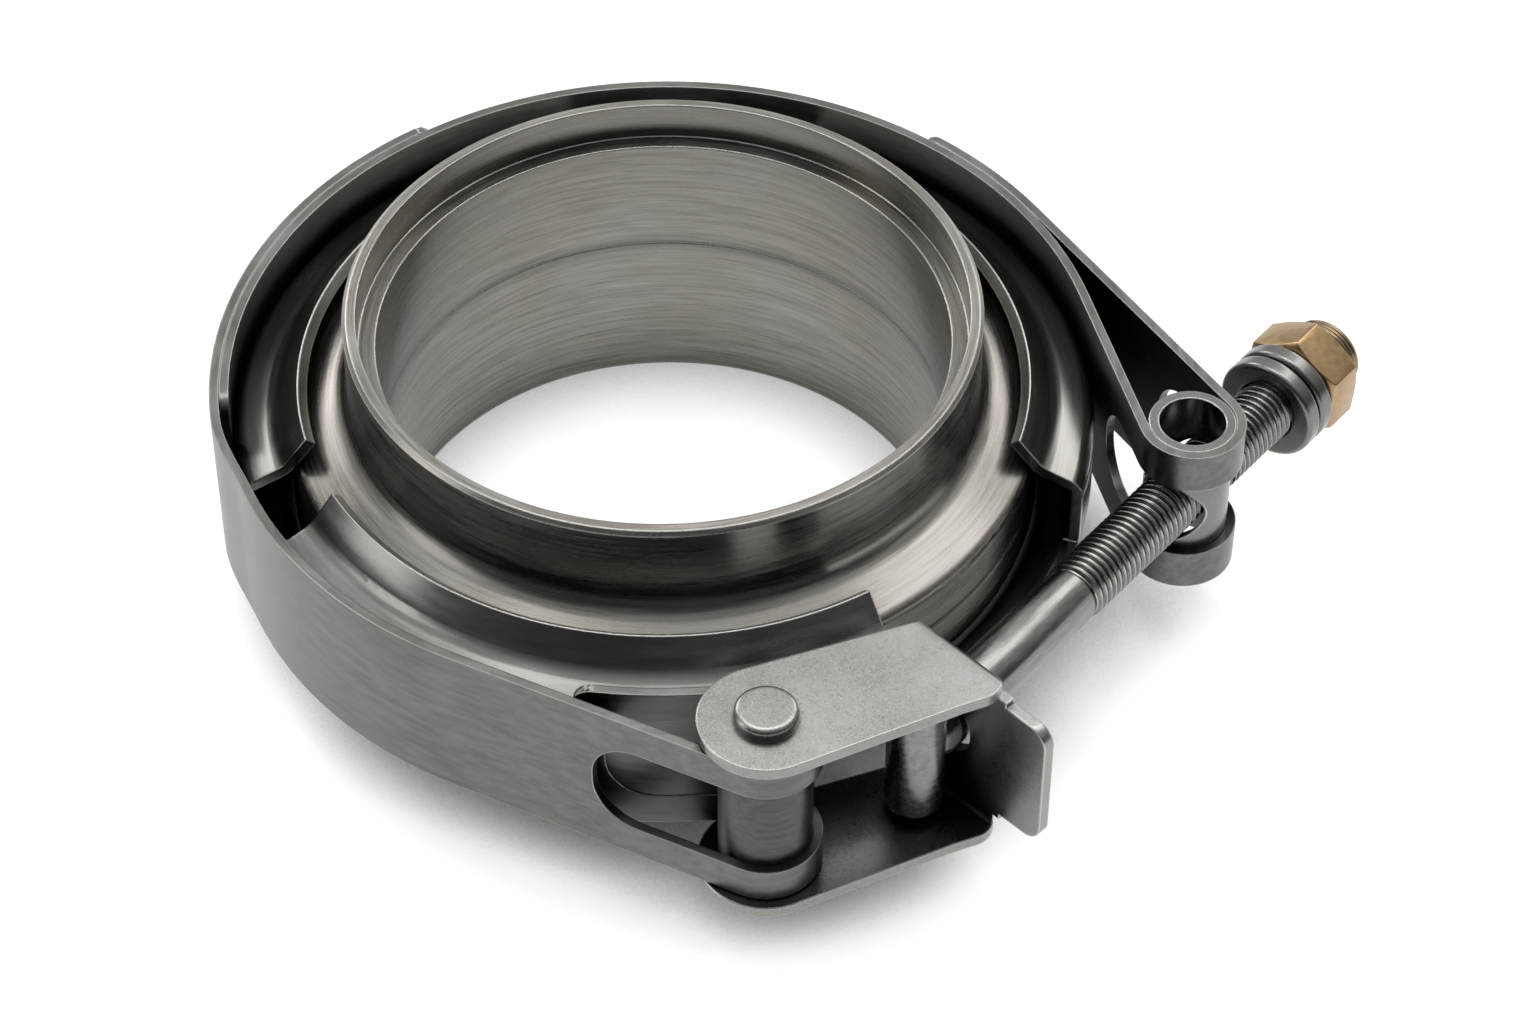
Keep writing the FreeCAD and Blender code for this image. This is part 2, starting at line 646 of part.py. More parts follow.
# Trunnion: a tube across the strap's loop, with the bolt's hole through it.
trunnion = begin("trunnion")
place(trunnion, "trunnion_x", "trunnion_y", "flange_height", "bolt_azimuth")
plane = sketch_on(trunnion, "XY_Plane")
ring(plane, "0", "0", "trunnion_outer_radius")
ring(plane, "0", "0", "trunnion_inner_radius")
pad(trunnion, plane, "trunnion_height", "tube", True)
plane = sketch_on(trunnion, "YZ_Plane")
ring(plane, "0", "0", "trunnion_hole_radius")
pocket(trunnion, plane, "4 * trunnion_outer_radius", "bolt_hole")

for label, start in (("inner_washer", "inner_washer_at"), ("outer_washer", "outer_washer_at")):
    washer = begin(label)
    place(washer, "head_x", "head_y", "flange_height", "bolt_azimuth")
    plane = sketch_on(washer, "XY_Plane")
    outline(plane, [
        (start, "washer_bore_radius"),
        (start, "washer_radius", "washer_round"),
        (start + " + washer_thickness", "washer_radius", "washer_round"),
        (start + " + washer_thickness", "washer_bore_radius"),
    ])
    turn(washer, plane, "H_Axis", "turned")

# Prevailing torque nut: hexagon with 30 degree corners and a round collar.
nut = begin("lock_nut")
place(nut, "head_x", "head_y", "flange_height", "bolt_azimuth")
plane = sketch_on(nut, "YZ_Plane", "nut_at")
across = "nut_across_flats / 2 / cos(30)"
outline(plane, [
    ("%s * sin(%d)" % (across, side * 60), "%s * cos(%d)" % (across, side * 60)) for side in range(6)
])
pad(nut, plane, "nut_height", "hexagon")
plane = sketch_on(nut, "XY_Plane")
slope = "(nut_across_flats / 2) * tan(nut_chamfer_angle)"
outline(plane, [
    ("nut_at - 1", "nut_across_flats / 2 - 1 / tan(nut_chamfer_angle)"),
    ("nut_at + " + slope, "nut_across_flats"),
    ("nut_at - 1", "nut_across_flats"),
])
turn(nut, plane, "H_Axis", "chamfer_inside", kind="Groove")
plane = sketch_on(nut, "XY_Plane")
outline(plane, [
    ("collar_at + 1", "nut_across_flats / 2 - 1 / tan(nut_chamfer_angle)"),
    ("collar_at - " + slope, "nut_across_flats"),
    ("collar_at + 1", "nut_across_flats"),
])
turn(nut, plane, "H_Axis", "chamfer_outside", kind="Groove")
plane = sketch_on(nut, "XY_Plane")
outline(plane, [
    ("collar_at - 1", "0"),
    ("collar_at - 1", "nut_collar_radius"),
    ("collar_at + nut_collar_length - nut_collar_chamfer", "nut_collar_radius"),
    ("collar_at + nut_collar_length", "nut_collar_radius - nut_collar_chamfer"),
    ("collar_at + nut_collar_length", "0"),
])
turn(nut, plane, "H_Axis", "collar")
plane = sketch_on(nut, "YZ_Plane", "nut_at")
ring(plane, "0", "0", "nut_bore_radius")
pocket(nut, plane, "4 * nut_height", "bore")

doc.recompute()
faults = [o.Label for o in doc.Objects if "Invalid" in o.State or "Error" in o.State]
faults += [b.Label for b in pieces if b.Shape.isNull() or not b.Shape.isValid() or len(b.Shape.Solids) != 1]
if faults:
    raise RuntimeError("not built: " + ", ".join(faults))
os.makedirs("parts", exist_ok=True)
for body in pieces:
    body.Shape.exportStep("parts/%s.step" % body.Label)
    print(body.Label, round(body.Shape.Volume, 1), "mm3")
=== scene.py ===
import json
import math

import bpy
from mathutils import Matrix, Vector


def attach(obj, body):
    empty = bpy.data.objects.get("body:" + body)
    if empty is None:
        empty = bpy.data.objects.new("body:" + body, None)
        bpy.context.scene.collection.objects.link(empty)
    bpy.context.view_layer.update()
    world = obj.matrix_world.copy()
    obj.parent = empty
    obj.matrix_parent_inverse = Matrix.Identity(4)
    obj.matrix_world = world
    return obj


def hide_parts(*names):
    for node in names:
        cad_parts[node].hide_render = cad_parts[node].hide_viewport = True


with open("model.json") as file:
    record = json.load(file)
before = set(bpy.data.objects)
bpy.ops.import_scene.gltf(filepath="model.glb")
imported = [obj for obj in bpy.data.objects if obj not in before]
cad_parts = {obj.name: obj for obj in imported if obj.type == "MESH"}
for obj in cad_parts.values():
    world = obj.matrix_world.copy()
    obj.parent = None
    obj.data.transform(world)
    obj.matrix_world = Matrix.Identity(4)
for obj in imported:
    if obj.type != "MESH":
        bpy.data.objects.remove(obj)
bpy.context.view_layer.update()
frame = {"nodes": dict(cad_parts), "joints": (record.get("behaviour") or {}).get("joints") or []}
nodes = frame["nodes"]
mm = 0.001
weld, nodeWeld = 1e-6, 2e-6  # in metres: vertices nearer than this are merged
bpy.ops.object.select_all(action="DESELECT")
print("frame loaded:", len(nodes), "nodes")


def startPiece(name):
    piece = bpy.context.active_object
    piece.name = name
    piece.data.name = name
    return piece


def pickNothing():
    bpy.ops.object.select_all(action="DESELECT")


def pickOnly(piece):
    pickNothing()
    piece.select_set(True)
    bpy.context.view_layer.objects.active = piece


def turned(name, outline, steps=96, ring=False):
    # a circle is drawn up and resized to each next (radius, height); a ring joins back to the start
    pickNothing()
    radius, height = outline[0]
    bpy.ops.mesh.primitive_circle_add(vertices=steps, radius=radius * mm, location=(0, 0, height * mm))
    piece = startPiece(name)
    bpy.ops.object.mode_set(mode="EDIT")
    bpy.ops.mesh.select_all(action="SELECT")
    if not ring:
        bpy.ops.mesh.edge_face_add()
        bpy.ops.mesh.select_mode(type="EDGE")
    path = outline[1:] + (outline[:1] if ring else [])
    for nextRadius, nextHeight in path:
        rise = (nextHeight - height) * mm
        bpy.ops.mesh.extrude_edges_move(TRANSFORM_OT_translate={"value": (0, 0, rise)})
        scale = nextRadius / radius
        bpy.ops.transform.resize(value=(scale, scale, 1), center_override=(0, 0, nextHeight * mm))
        radius, height = nextRadius, nextHeight
    if not ring:
        bpy.ops.mesh.edge_face_add()
    bpy.ops.mesh.select_all(action="SELECT")
    bpy.ops.mesh.remove_doubles(threshold=weld)
    bpy.ops.mesh.normals_make_consistent(inside=False)
    bpy.ops.object.mode_set(mode="OBJECT")
    bpy.ops.object.transform_apply(location=True, rotation=True, scale=True)
    return piece


def applyAll(piece):
    bpy.context.view_layer.objects.active = piece
    for mod in list(piece.modifiers):
        bpy.ops.object.modifier_apply(modifier=mod.name)


def putOnBolt(piece):
    # the piece is made along +Z from the head's axis; this lays it along the bolt
    level = Matrix.Rotation(math.radians(90), 4, "Y")
    turn = Matrix.Rotation(math.radians(bolt["azimuth"]), 4, "Z")
    piece.matrix_world = Matrix.Translation(bolt["head"]) @ turn @ level
    pickOnly(piece)
    bpy.ops.object.transform_apply(location=True, rotation=True, scale=True)


def joinPieces(name, parts):
    pickNothing()
    for part in parts:
        part.select_set(True)
    bpy.context.view_layer.objects.active = parts[0]
    bpy.ops.object.join()
    return startPiece(name)


def mergeFlats(piece, flat):
    # flat is the angle in degrees up to which neighbouring faces count as one
    pickOnly(piece)
    bpy.ops.object.mode_set(mode="EDIT")
    bpy.ops.mesh.select_all(action="SELECT")
    bpy.ops.mesh.remove_doubles(threshold=nodeWeld)
    bpy.ops.mesh.dissolve_limited(angle_limit=math.radians(flat))
    bpy.ops.object.mode_set(mode="OBJECT")


def copyNode(name, flat):
    # a node's mesh is loose triangles, so the copy is merged, and its flat faces are made whole
    piece = bpy.data.objects.new(name + "_dressed", nodes[name].data.copy())
    bpy.context.collection.objects.link(piece)
    mergeFlats(piece, flat)
    return piece


def smooth(piece, angle=30):
    pickOnly(piece)
    bpy.ops.object.shade_smooth_by_angle(angle=math.radians(angle))


def smoothByArea(piece, angle):
    # each corner's shading follows its largest face, so a flat sheet looks flat
    smooth(piece, angle)
    even = piece.modifiers.new("even", "WEIGHTED_NORMAL")
    even.mode = "FACE_AREA"
    even.weight = 80
    even.keep_sharp = True
    applyAll(piece)


# places come from the frame's own joints and nodes, in metres
jointPlace = {j["name"]: j for j in frame["joints"]}
boltAxis = Vector(jointPlace["bolt_slide"]["axis"]) * -1
trunnionAt = Vector(jointPlace["bolt_swing"]["pos_m"])


def alongBolt(name):
    # nearest and farthest reach of a node along the bolt, measured from the trunnion in mm
    reach = [(vertex.co - trunnionAt).dot(boltAxis) / mm for vertex in nodes[name].data.vertices]
    return min(reach), max(reach)


# T-bolt in mm: an upright round head, a plain shank, and a thread up to the far end
bolt = {
    "azimuth": math.degrees(math.atan2(boltAxis.y, boltAxis.x)),
    "shankRadius": 3.75,
    "rootRadius": 3.42,
    "crestRadius": 3.98,
    "pitch": 1.0,
    "headRadius": 3.6,
    "headHalf": 10.75,
    "headEnd": 1.5,
    "threadStart": 24.7,
    "shorter": 1.0,  # than the solid, as the photograph shows
}
bolt["headReach"] = -alongBolt("t_bolt")[0] - bolt["headRadius"]
bolt["threadFrom"] = bolt["headReach"] - bolt["threadStart"]
bolt["threadTo"] = bolt["headReach"] + alongBolt("t_bolt")[1] - bolt["shorter"]
bolt["head"] = trunnionAt - boltAxis * bolt["headReach"] * mm
print("bolt from the frame: head", round(bolt["headReach"], 3), "mm before the trunnion")


def addGroup(name, inputs, outputs):
    group = bpy.data.node_groups.new(name, "ShaderNodeTree")
    for title, kind, value in inputs:
        socket = group.interface.new_socket(title, in_out="INPUT", socket_type=kind)
        if value is not None:
            socket.default_value = value
    for title, kind in outputs:
        group.interface.new_socket(title, in_out="OUTPUT", socket_type=kind)
    return group, group.nodes.new("NodeGroupInput"), group.nodes.new("NodeGroupOutput")


def mathNode(tree, operation, first, second=None):
    node = tree.nodes.new("ShaderNodeMath")
    node.operation = operation
    for slot, value in enumerate((first, second)):
        if value is None:
            continue
        if isinstance(value, (int, float)):
            node.inputs[slot].default_value = value
        else:
            tree.links.new(value, node.inputs[slot])
    return node.outputs[0]


def makeTurnedGrain():
    # fine lines that run round the flange axis, with a slow drift along each line
    group, given, result = addGroup(
        "turnedGrain",
        [("Density", "NodeSocketFloat", 900.0), ("Stretch", "NodeSocketFloat", 3.0)],
        [("Lines", "NodeSocketFloat"), ("Patches", "NodeSocketFloat")],
    )
    place = group.nodes.new("ShaderNodeTexCoord")
    split = group.nodes.new("ShaderNodeSeparateXYZ")
    group.links.new(place.outputs["Object"], split.inputs[0])
    x, y, z = split.outputs
    xSquare = mathNode(group, "MULTIPLY", x, x)
    ySquare = mathNode(group, "MULTIPLY", y, y)
    radius = mathNode(group, "SQRT", mathNode(group, "ADD", xSquare, ySquare))
    across = mathNode(group, "DIVIDE", x, radius)
    along = mathNode(group, "DIVIDE", y, radius)
    joined = group.nodes.new("ShaderNodeCombineXYZ")
    group.links.new(mathNode(group, "MULTIPLY", across, given.outputs["Stretch"]), joined.inputs[0])
    group.links.new(mathNode(group, "MULTIPLY", along, given.outputs["Stretch"]), joined.inputs[1])
    group.links.new(mathNode(group, "MULTIPLY", z, given.outputs["Density"]), joined.inputs[2])
    lines = group.nodes.new("ShaderNodeTexNoise")
    lines.noise_dimensions = "4D"
    lines.inputs["Scale"].default_value = 1.0
    lines.inputs["Detail"].default_value = 5.0
    lines.inputs["Roughness"].default_value = 0.62
    group.links.new(joined.outputs[0], lines.inputs["Vector"])
    group.links.new(mathNode(group, "MULTIPLY", radius, given.outputs["Density"]), lines.inputs["W"])
    patches = group.nodes.new("ShaderNodeTexNoise")
    patches.inputs["Scale"].default_value = 55.0
    patches.inputs["Detail"].default_value = 4.0
    group.links.new(place.outputs["Object"], patches.inputs["Vector"])
    group.links.new(lines.outputs[0], result.inputs["Lines"])
    group.links.new(patches.outputs[0], result.inputs["Patches"])
    return group


def makeSatinGrain():
    # speckled satin of pressed and rolled stock, with smudges; twist curls the speckle into an etched swirl
    group, given, result = addGroup(
        "satinGrain",
        [
            ("Place", "NodeSocketVector", None), ("Scale", "NodeSocketFloat", 1400.0),
            ("Twist", "NodeSocketFloat", 0.0),
        ],
        [("Speckle", "NodeSocketFloat"), ("Smudge", "NodeSocketFloat")],
    )
    speckle = group.nodes.new("ShaderNodeTexNoise")
    speckle.inputs["Detail"].default_value = 4.0
    speckle.inputs["Roughness"].default_value = 0.6
    group.links.new(given.outputs["Scale"], speckle.inputs["Scale"])
    group.links.new(given.outputs["Twist"], speckle.inputs["Distortion"])
    group.links.new(given.outputs["Place"], speckle.inputs["Vector"])
    smudge = group.nodes.new("ShaderNodeTexNoise")
    smudge.inputs["Scale"].default_value = 70.0
    smudge.inputs["Detail"].default_value = 5.0
    smudge.inputs["Distortion"].default_value = 0.6
    group.links.new(given.outputs["Place"], smudge.inputs["Vector"])
    group.links.new(speckle.outputs[0], result.inputs["Speckle"])
    group.links.new(smudge.outputs[0], result.inputs["Smudge"])
    return group


def ramp(tree, value, low, high, lowColour, highColour):
    node = tree.nodes.new("ShaderNodeValToRGB")
    node.color_ramp.elements[0].position = low
    node.color_ramp.elements[1].position = high
    node.color_ramp.elements[0].color = (*lowColour, 1)
    node.color_ramp.elements[1].color = (*highColour, 1)
    tree.links.new(value, node.inputs[0])
    return node.outputs[0]


def spread(tree, value, low, high, outLow, outHigh):
    node = tree.nodes.new("ShaderNodeMapRange")
    node.inputs["From Min"].default_value = low
    node.inputs["From Max"].default_value = high
    node.inputs["To Min"].default_value = outLow
    node.inputs["To Max"].default_value = outHigh
    tree.links.new(value, node.inputs["Value"])
    return node.outputs[0]


# dot product of the rounded and the true normal where the painted edge highlight starts, and where it is
# full
highlightFrom, highlightFull = 0.995, 0.93


def makeEdgeHighlight():
    # rounds the shading of an edge, and says where the rounded normal leaves the true one, which is where
    # the edge gets a painted highlight
    group, given, result = addGroup(
        "edgeHighlight",
        [("Radius", "NodeSocketFloat", 0.0003)],
        [("Edge", "NodeSocketFloat"), ("Normal", "NodeSocketVector")],
    )
    rounded = group.nodes.new("ShaderNodeBevel")
    rounded.samples = 6
    group.links.new(given.outputs["Radius"], rounded.inputs["Radius"])
    surface = group.nodes.new("ShaderNodeNewGeometry")
    near = group.nodes.new("ShaderNodeVectorMath")
    near.operation = "DOT_PRODUCT"
    group.links.new(rounded.outputs[0], near.inputs[0])
    group.links.new(surface.outputs["Normal"], near.inputs[1])
    paintedHighlight = spread(group, near.outputs["Value"], highlightFrom, highlightFull, 0.0, 1.0)
    group.links.new(paintedHighlight, result.inputs["Edge"])
    group.links.new(rounded.outputs[0], result.inputs["Normal"])
    return group


seamDark = {"line": 0.25, "band": 0.7}


def makeSeamShade():
    # a thin dark line for the joint, and a softer band of painted shade about it, at one height on the
    # object
    group, given, result = addGroup(
        "seamShade",
        [
            ("Height", "NodeSocketFloat", 0.022), ("Line", "NodeSocketFloat", 0.0003),
            ("Band", "NodeSocketFloat", 0.0018),
        ],
        [("Light", "NodeSocketFloat")],
    )
    place = group.nodes.new("ShaderNodeTexCoord")
    split = group.nodes.new("ShaderNodeSeparateXYZ")
    group.links.new(place.outputs["Object"], split.inputs[0])
    lift = mathNode(group, "SUBTRACT", split.outputs["Z"], given.outputs["Height"])
    away = mathNode(group, "ABSOLUTE", lift)
    inLine = mathNode(group, "DIVIDE", away, given.outputs["Line"])
    line = spread(group, inLine, 0.4, 1.0, seamDark["line"], 1.0)
    inBand = mathNode(group, "DIVIDE", away, given.outputs["Band"])
    band = spread(group, inBand, 0.0, 1.0, seamDark["band"], 1.0)
    group.links.new(mathNode(group, "MULTIPLY", line, band), result.inputs["Light"])
    return group


# openness at which the painted nook shade is darkest, and from which there is none
nookRange = (0.2, 0.75)


def makeNookShade():
    # painted shade where another surface stands close
    group, given, result = addGroup(
        "nookShade",
        [("Distance", "NodeSocketFloat", 0.012), ("Deepest", "NodeSocketFloat", 0.3)],
        [("Light", "NodeSocketFloat")],
    )
    nearby = group.nodes.new("ShaderNodeAmbientOcclusion")
    nearby.samples = 6
    group.links.new(given.outputs["Distance"], nearby.inputs["Distance"])
    part = spread(group, nearby.outputs["AO"], *nookRange, 0.0, 1.0)
    kept = mathNode(group, "SUBTRACT", 1.0, given.outputs["Deepest"])
    lit = mathNode(group, "ADD", mathNode(group, "MULTIPLY", part, kept), given.outputs["Deepest"])
    group.links.new(lit, result.inputs["Light"])
    return group


turnedGrain = makeTurnedGrain()
satinGrain = makeSatinGrain()
edgeHighlight = makeEdgeHighlight()
seamShade = makeSeamShade()
nookShade = makeNookShade()


def groupNode(tree, group, values):
    node = tree.nodes.new("ShaderNodeGroup")
    node.node_tree = group
    for title, value in values.items():
        node.inputs[title].default_value = value
    return node


def grainNode(tree, finish):
    if finish["grain"] == "turned":
        return groupNode(tree, turnedGrain, {"Density": finish["density"], "Stretch": finish["stretch"]})
    grain = groupNode(tree, satinGrain, {"Scale": finish["density"], "Twist": finish.get("twist", 0)})
    place = tree.nodes.new("ShaderNodeTexCoord")
    lay = tree.nodes.new("ShaderNodeMapping")
    lay.vector_type = "TEXTURE"
    lay.inputs["Rotation"].default_value = (0, 0, math.radians(finish.get("turn", 0)))
    lay.inputs["Scale"].default_value = (finish.get("draw", 1), 1, 1)
    tree.links.new(place.outputs["Object"], lay.inputs["Vector"])
    tree.links.new(lay.outputs[0], grain.inputs["Place"])
    return grain


def multiplied(tree, first, second):
    mixed = tree.nodes.new("ShaderNodeMix")
    mixed.data_type = "RGBA"
    mixed.blend_type = "MULTIPLY"
    mixed.inputs["Factor"].default_value = 1.0
    tree.links.new(first, mixed.inputs["A"])
    tree.links.new(second, mixed.inputs["B"])
    return mixed.outputs["Result"]


# the parts of each grain's values that carry its colour and its roughness
fineColour, fineRough, broadRange = (0.32, 0.68), (0.3, 0.7), (0.35, 0.65)


def makeMetal(name, finish):
    mat = bpy.data.materials.new(name)
    mat.use_nodes = True
    tree = mat.node_tree
    shader = tree.nodes["Principled BSDF"]
    shader.inputs["Metallic"].default_value = 1.0
    fine, broad = grainNode(tree, finish).outputs
    colour = multiplied(
        tree, ramp(tree, fine, *fineColour, finish["dark"], finish["light"]),
        ramp(tree, broad, *broadRange, finish["patchDark"], (1, 1, 1)),
    )
    if "seam" in finish:
        shade = groupNode(tree, seamShade, {title: size * mm for title, size in finish["seam"].items()})
        colour = multiplied(tree, colour, shade.outputs["Light"])
    # painted shade: the colour is darkened in nooks, where other surfaces stand close
    if "nook" in finish:
        paintedShade = groupNode(tree, nookShade, {"Distance": finish["nook"] * mm, "Deepest": finish["nookDark"]})
        colour = multiplied(tree, colour, paintedShade.outputs["Light"])
    smoothest, roughest = finish["rough"] - finish["roughFine"], finish["rough"] + finish["roughFine"]
    rough = mathNode(
        tree, "ADD", spread(tree, fine, *fineRough, smoothest, roughest),
        spread(tree, broad, *broadRange, -finish["roughBroad"], finish["roughBroad"]),
    )
    tree.links.new(rough, shader.inputs["Roughness"])
    if "streak" in finish:
        # lathe lines draw a highlight out across themselves
        lathe = tree.nodes.new("ShaderNodeTangent")
        lathe.direction_type = "RADIAL"
        lathe.axis = "Z"
        tree.links.new(lathe.outputs[0], shader.inputs["Tangent"])
        shader.inputs["Anisotropic"].default_value = finish["streak"]
        shader.inputs["Anisotropic Rotation"].default_value = 0.25
    edge = groupNode(tree, edgeHighlight, {"Radius": finish["edge"] * mm})
    # painted highlight: edges are mixed toward a lighter colour
    paintedEdgeLight = tree.nodes.new("ShaderNodeMix")
    paintedEdgeLight.data_type = "RGBA"
    tree.links.new(edge.outputs["Edge"], paintedEdgeLight.inputs["Factor"])
    tree.links.new(colour, paintedEdgeLight.inputs["A"])
    paintedEdgeLight.inputs["B"].default_value = (*finish["paintedEdgeLight"], 1)
    tree.links.new(paintedEdgeLight.outputs["Result"], shader.inputs["Base Color"])
    bump = tree.nodes.new("ShaderNodeBump")
    bump.inputs["Strength"].default_value = finish["bump"]
    bump.inputs["Distance"].default_value = finish["bumpHeight"] * mm
    tree.links.new(fine, bump.inputs["Height"])
    tree.links.new(edge.outputs["Normal"], bump.inputs["Normal"])
    tree.links.new(bump.outputs[0], shader.inputs["Normal"])
    return mat


# colours are linear; edge, nook, seam and bump heights are in mm
seam = {"Height": 22.0, "Line": 0.3, "Band": 1.8}
finishes = {
    "flangeSteel": {
        "grain": "turned", "density": 2400.0, "stretch": 4.0, "dark": (0.19, 0.178, 0.162),
        "light": (0.34, 0.325, 0.303), "patchDark": (0.86, 0.845, 0.82), "rough": 0.28, "roughFine": 0.05,
        "roughBroad": 0.03, "bump": 0.2, "bumpHeight": 0.04, "streak": 0.6, "edge": 0.35,
        "seam": seam, "paintedEdgeLight": (0.5, 0.485, 0.46), "nook": 6.0, "nookDark": 0.35,
    },
    # the bush's steel is coloured much darker than the other steels: painted shade, as it sits deep inside
    # the link
    "shadedTurnedSteel": {
        "grain": "turned", "density": 1800.0, "stretch": 2.2, "dark": (0.075, 0.071, 0.066),
        "light": (0.12, 0.115, 0.108), "patchDark": (0.84, 0.83, 0.81), "rough": 0.3, "roughFine": 0.05,
        "roughBroad": 0.03, "bump": 0.15, "bumpHeight": 0.05, "edge": 0.2, "paintedEdgeLight": (0.42, 0.41, 0.39),
        "nook": 10.0, "nookDark": 0.45,
    },
    "pressedSteel": {
        "grain": "turned", "density": 900.0, "stretch": 5.0, "dark": (0.23, 0.222, 0.21),
        "light": (0.31, 0.301, 0.288), "patchDark": (0.84, 0.83, 0.815), "rough": 0.25, "roughFine": 0.03,
        "roughBroad": 0.03, "bump": 0.06, "bumpHeight": 0.04, "edge": 0.35, "paintedEdgeLight": (0.55, 0.54, 0.52),
        "nook": 6.0, "nookDark": 0.35,
    },
    "strapSteel": {
        "grain": "turned", "density": 1100.0, "stretch": 12.0, "dark": (0.135, 0.13, 0.123),
        "light": (0.205, 0.198, 0.189), "patchDark": (0.82, 0.81, 0.795), "rough": 0.34, "roughFine": 0.04,
        "roughBroad": 0.04, "bump": 0.12, "bumpHeight": 0.04, "edge": 0.25, "paintedEdgeLight": (0.46, 0.45, 0.43),
        "nook": 12.0, "nookDark": 0.22,
    },
    "linkSteel": {
        "grain": "satin", "density": 1500.0, "twist": 3.0, "dark": (0.25, 0.243, 0.232),
        "light": (0.36, 0.351, 0.337), "patchDark": (0.86, 0.85, 0.84), "rough": 0.3, "roughFine": 0.04,
        "roughBroad": 0.03, "bump": 0.08, "bumpHeight": 0.03, "edge": 0.4, "paintedEdgeLight": (0.55, 0.54, 0.52),
        "nook": 16.0, "nookDark": 0.16,
    },
    "boltSteel": {
        "grain": "satin", "density": 1500.0, "turn": bolt["azimuth"], "draw": 5.0,
        "dark": (0.21, 0.204, 0.195), "light": (0.31, 0.302, 0.29), "patchDark": (0.78, 0.77, 0.755),
        "rough": 0.27, "roughFine": 0.05, "roughBroad": 0.04, "bump": 0.12, "bumpHeight": 0.04,
        "edge": 0.15, "paintedEdgeLight": (0.48, 0.47, 0.45), "nook": 9.0, "nookDark": 0.35,
    },
    "washerSteel": {
        "grain": "satin", "density": 2600.0, "dark": (0.19, 0.184, 0.176), "light": (0.225, 0.218, 0.208),
        "patchDark": (0.9, 0.89, 0.88), "rough": 0.26, "roughFine": 0.01, "roughBroad": 0.03,
        "bump": 0.0, "bumpHeight": 0.02, "edge": 0.35, "paintedEdgeLight": (0.6, 0.59, 0.57),
    },
    "nutBrass": {
        "grain": "satin", "density": 1100.0, "dark": (0.37, 0.25, 0.13), "light": (0.46, 0.325, 0.185),
        "patchDark": (0.84, 0.8, 0.74), "rough": 0.3, "roughFine": 0.03, "roughBroad": 0.05,
        "bump": 0.08, "bumpHeight": 0.04, "edge": 0.2, "paintedEdgeLight": (0.78, 0.64, 0.44),
    },
    "collarBrass": {
        "grain": "satin", "density": 1100.0, "dark": (0.2, 0.145, 0.09), "light": (0.3, 0.22, 0.145),
        "patchDark": (0.8, 0.76, 0.7), "rough": 0.3, "roughFine": 0.03, "roughBroad": 0.05,
        "bump": 0.08, "bumpHeight": 0.04, "edge": 0.1, "paintedEdgeLight": (0.6, 0.48, 0.33),
    },
}
metals = {name: makeMetal(name, finish) for name, finish in finishes.items()}
print("materials made:", ", ".join(metals))


def dressMetal(piece, metal):
    piece.data.materials.clear()
    piece.data.materials.append(metals[metal])


# CAD nodes keep their shape and get a finish
nodeFinish = {
    "upper_flange": "flangeSteel", "lower_flange": "flangeSteel", "hinge_bush": "shadedTurnedSteel",
    "v_segment_left": "pressedSteel", "v_segment_front": "pressedSteel", "v_segment_right": "pressedSteel",
    "hinge_strap": "strapSteel", "trunnion_strap": "strapSteel", "latch_link": "linkSteel",
    "hinge_rivet": "linkSteel", "trunnion": "washerSteel", "t_bolt": "boltSteel",
    "inner_washer": "washerSteel", "outer_washer": "washerSteel", "lock_nut": "nutBrass",
}
for name, finish in nodeFinish.items():
    dressMetal(nodes[name], finish)
print("CAD nodes finished")


# the hinge strap's inner leg runs whole behind the window, as the photograph shows
innerLeg = {
    "near": 54.93, "far": 55.9, "low": 15.2, "high": 28.8,
    "from": 261.0, "to": 273.79, "straight": 8.9, "steps": 12,
}


def makeInnerLeg():
    pickNothing()
    bpy.ops.mesh.primitive_plane_add(size=mm)
    leg = startPiece("hinge_strap_inner_leg")
    spots = [("near", "low"), ("far", "low"), ("near", "high"), ("far", "high")]
    for vertex, (radius, height) in zip(leg.data.vertices, spots):
        vertex.co = (innerLeg[radius] * mm, 0, innerLeg[height] * mm)
    leg.rotation_euler = (0, 0, math.radians(innerLeg["from"]))
    bpy.ops.object.transform_apply(location=True, rotation=True, scale=True)
    bpy.ops.object.mode_set(mode="EDIT")
    bpy.ops.mesh.select_all(action="SELECT")
    sweep = math.radians(innerLeg["to"] - innerLeg["from"])  # with no window, spin turns the other way
    bpy.ops.mesh.spin(steps=innerLeg["steps"], angle=-sweep, center=(0, 0, 0), axis=(0, 0, 1))
    ahead = math.radians(innerLeg["to"] + 90)
    run = Vector((math.cos(ahead), math.sin(ahead), 0)) * innerLeg["straight"] * mm
    bpy.ops.mesh.extrude_region_move(TRANSFORM_OT_translate={"value": run})
    bpy.ops.mesh.select_all(action="SELECT")
    bpy.ops.mesh.remove_doubles(threshold=weld)
    bpy.ops.mesh.normals_make_consistent(inside=False)
    bpy.ops.object.mode_set(mode="OBJECT")
    return leg


leg = makeInnerLeg()
smooth(leg)
dressMetal(leg, "strapSteel")
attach(leg, "clamp")
print("inner leg made")

# the hinge strap steps down off its lap in a smooth curve
joggle = {"from": 190.0, "to": 204.0, "cuts": 10, "chordDip": 0.3, "flat": 0.05}
strapCircles = (54.83, 56.03, 56.08, 57.28)
onEnd, onCircle, facing = 0.05, 0.02, 0.98  # degrees, mm, and the least dot product with the radius


def azimuth(point):
    return math.degrees(math.atan2(point.y, point.x)) % 360


